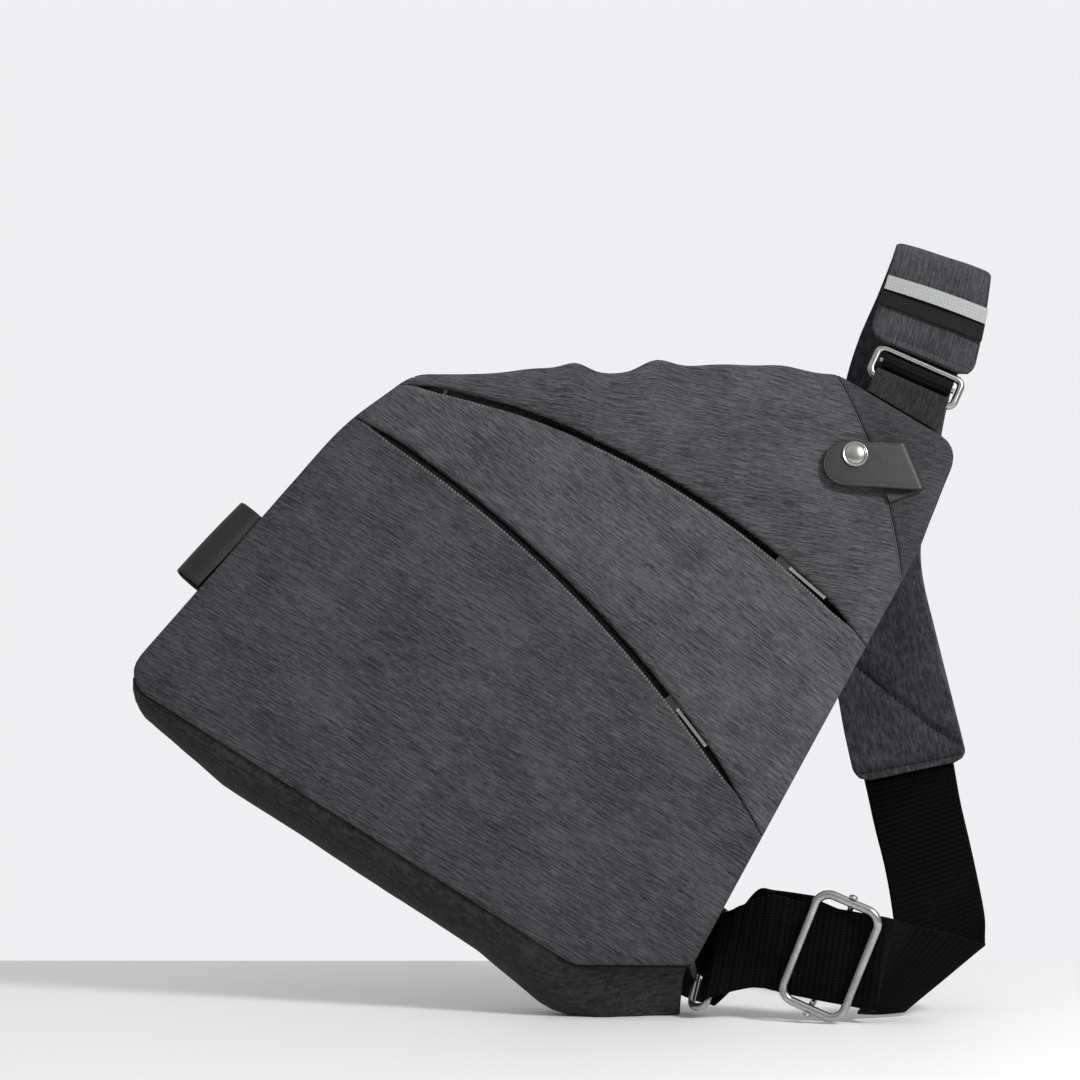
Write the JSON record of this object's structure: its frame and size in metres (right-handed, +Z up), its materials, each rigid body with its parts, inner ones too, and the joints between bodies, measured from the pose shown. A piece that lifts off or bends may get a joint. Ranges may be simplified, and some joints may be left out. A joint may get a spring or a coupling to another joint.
{
  "type": "sling bag",
  "caption": "Flat crossbody sling bag in charcoal fabric with curved zip pockets, a leather snap tab, a side loop and a padded adjustable strap.",
  "frame": {"origin": "centre of the whole object's footprint, on the surface that the bag and the strap rest on", "axes": "+X to the right as the front is seen, +Y away from the viewer, +Z up; the bag is stored standing on its lower right corner, turned 32 degrees and leaning back 10 degrees"},
  "size_m": [0.3898, 0.1055, 0.3484],
  "materials": {
    "charcoal_fabric": "heather woven polyester, matte",
    "charcoal_fine_fabric": "fine heather woven polyester, matte",
    "dark_gusset_fabric": "dark woven polyester, matte",
    "black_spacer_mesh": "air mesh",
    "grey_foam": "soft foam",
    "grey_lining": "smooth nylon lining",
    "dark_grey_leather": "matte leather",
    "black_webbing": "satin woven nylon",
    "black_elastic": "knitted elastic",
    "reflective_tape": "satin silver-grey tape",
    "zip_tape": "woven zip tape",
    "zip_coil": "nylon coil",
    "brushed_nickel": "nickel plated, lightly brushed"
  },
  "bodies": {
    "bag": {"back_foam": "grey_foam", "back_lining": "grey_lining", "back_mesh_pad": "black_spacer_mesh", "back_panel": "charcoal_fabric", "bottom_gusset": "dark_gusset_fabric", "corner_ring_tab": "black_webbing", "elastic_band": "black_elastic", "front_lower_panel": "charcoal_fabric", "front_middle_panel": "charcoal_fabric", "front_upper_panel": "charcoal_fabric", "inner_slip_pocket": "grey_lining", "left_side_wall": "dark_gusset_fabric", "lower_webbing": "black_webbing", "lower_zip_coil_lower_side": "zip_coil", "lower_zip_coil_upper_side": "zip_coil", "lower_zip_facing_lower_side": "charcoal_fabric", "lower_zip_facing_upper_side": "charcoal_fabric", "lower_zip_stop_left": "brushed_nickel", "lower_zip_stop_right": "brushed_nickel", "lower_zip_tape_lower_side": "zip_tape", "lower_zip_tape_upper_side": "zip_tape", "pocket_divider": "grey_lining", "reflective_strip": "reflective_tape", "return_webbing": "black_webbing", "right_side_wall": "dark_gusset_fabric", "shoulder_pad": "charcoal_fine_fabric", "shoulder_pad_lining": "black_spacer_mesh", "shoulder_side_wall": "dark_gusset_fabric", "side_loop": "dark_grey_leather", "snap_stud": "brushed_nickel", "snap_tab_base": "dark_grey_leather", "top_corner_panel": "charcoal_fine_fabric", "top_side_wall": "dark_gusset_fabric", "top_tab": "charcoal_fine_fabric", "upper_zip_coil_lower_side": "zip_coil", "upper_zip_coil_upper_side": "zip_coil", "upper_zip_facing_lower_side": "charcoal_fabric", "upper_zip_facing_upper_side": "charcoal_fabric", "upper_zip_stop_left": "brushed_nickel", "upper_zip_stop_right": "brushed_nickel", "upper_zip_tape_lower_side": "zip_tape", "upper_zip_tape_upper_side": "zip_tape"},
    "upper_slider": {"upper_zip_slider": "brushed_nickel"},
    "upper_pull": {"upper_zip_pull": "brushed_nickel"},
    "lower_slider": {"lower_zip_slider": "brushed_nickel"},
    "lower_pull": {"lower_zip_pull": "brushed_nickel"},
    "snap_flap": {"snap_tab_flap": "dark_grey_leather", "snap_cap": "brushed_nickel", "snap_socket": "brushed_nickel"},
    "strap_ring": {"top_ring": "brushed_nickel", "top_ring_bar": "brushed_nickel", "ring_webbing_roll": "black_webbing"},
    "strap_adjuster": {"adjuster_frame": "brushed_nickel", "adjuster_bar": "brushed_nickel", "adjuster_rivet_upper": "brushed_nickel", "adjuster_rivet_lower": "brushed_nickel", "webbing_end_loop": "black_webbing"},
    "lower_ring": {"corner_ring": "brushed_nickel"}
  },
  "joints": [
    {"name": "upper_zip_travel", "type": "hinge", "parent": "bag", "child": "upper_slider", "pos_m": [-0.1418, -0.05434, -0.06433], "axis": [0, -0.9848, 0.1736], "range_deg": [-1, 25.5]},
    {"name": "upper_pull_swing", "type": "hinge", "parent": "upper_slider", "child": "upper_pull", "pos_m": [0.09715, -0.00725, 0.19493], "axis": [-0.6665, -0.1295, -0.7342], "range_deg": [0, 150]},
    {"name": "lower_zip_travel", "type": "hinge", "parent": "bag", "child": "lower_slider", "pos_m": [-0.39281, -0.07651, -0.19008], "axis": [0, -0.9848, 0.1736], "range_deg": [-0.6, 17.5]},
    {"name": "lower_pull_swing", "type": "hinge", "parent": "lower_slider", "child": "lower_pull", "pos_m": [0.04635, -0.01826, 0.1325], "axis": [-0.7986, -0.1045, -0.5927], "range_deg": [0, 150]},
    {"name": "snap_tab_open", "type": "hinge", "parent": "bag", "child": "snap_flap", "pos_m": [0.15088, -0.00624, 0.24072], "axis": [-0.3508, 0.1626, 0.9222], "range_deg": [0, 140]},
    {"name": "strap_ring_tilt", "type": "hinge", "parent": "bag", "child": "strap_ring", "pos_m": [0.15438, 0.01601, 0.27708], "axis": [0.9063, -0.0734, -0.4162], "range_deg": [-12, 3]},
    {"name": "lower_ring_swing", "type": "hinge", "parent": "bag", "child": "lower_ring", "pos_m": [0.05628, -0.01825, 0.02414], "axis": [0.2401, 0.3501, 0.9054], "range_deg": [-6, 6]},
    {"name": "adjuster_slide", "type": "slide", "parent": "bag", "child": "strap_adjuster", "axis": [-0.9584, 0.2389, 0.1564], "range_m": [0, 0.012]}
  ]
}
